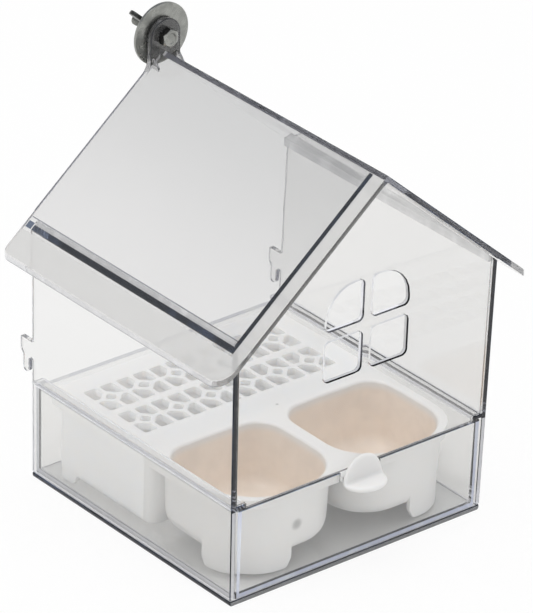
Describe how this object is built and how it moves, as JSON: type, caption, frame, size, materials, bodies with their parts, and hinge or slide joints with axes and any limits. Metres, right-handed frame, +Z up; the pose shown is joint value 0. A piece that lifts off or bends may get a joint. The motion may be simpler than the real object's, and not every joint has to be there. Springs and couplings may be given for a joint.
{
  "type": "bird cage feeder",
  "caption": "Clear house-shaped bird feeder with a sliding drawer, a white tray with seed cups and a lattice grid, and a wing nut clamp for cage wires.",
  "frame": {"origin": "centre of the underside of the house's floor", "axes": "+Z up, +Y to the back, where the cage is, +X to the right of someone facing the front gable"},
  "size_m": [0.1766, 0.1786, 0.2156],
  "materials": {
    "clear_floor": "glossy",
    "clear_left_wall": "glossy",
    "clear_right_wall": "glossy",
    "clear_front": "glossy",
    "clear_roof": "glossy",
    "clear_drawer": "glossy",
    "white_tray": "satin, moulded",
    "steel_bolt": "zinc plated",
    "steel_washer": "zinc plated",
    "steel_wing_nut": "zinc plated"
  },
  "bodies": {
    "house": {"floor_panel": "clear_floor", "left_wall": "clear_left_wall", "right_wall": "clear_right_wall", "front_gable": "clear_front", "roof": "clear_roof", "hex_bolt": "steel_bolt"},
    "drawer_with_tray": {"drawer": "clear_drawer", "seed_tray": "white_tray"},
    "washer": {"fender_washer": "steel_washer"},
    "wing_nut": {"wing_nut": "steel_wing_nut"}
  },
  "joints": [
    {"name": "drawer_slide", "type": "slide", "parent": "house", "child": "drawer_with_tray", "axis": [0, -1, 0], "range_m": [0, 0.12]},
    {"name": "washer_slide", "type": "slide", "parent": "house", "child": "washer", "axis": [0, 1, 0], "range_m": [0, 0.008]},
    {"name": "wing_nut_spin", "type": "hinge", "parent": "washer", "child": "wing_nut", "pos_m": [0, 0.0773, 0.20058], "axis": [0, 1, 0], "range_deg": [0, 3600]}
  ],
  "couplings": [
    {"joint": "washer_slide", "follows": "wing_nut_spin", "m_per_rad": 0.00012732}
  ]
}
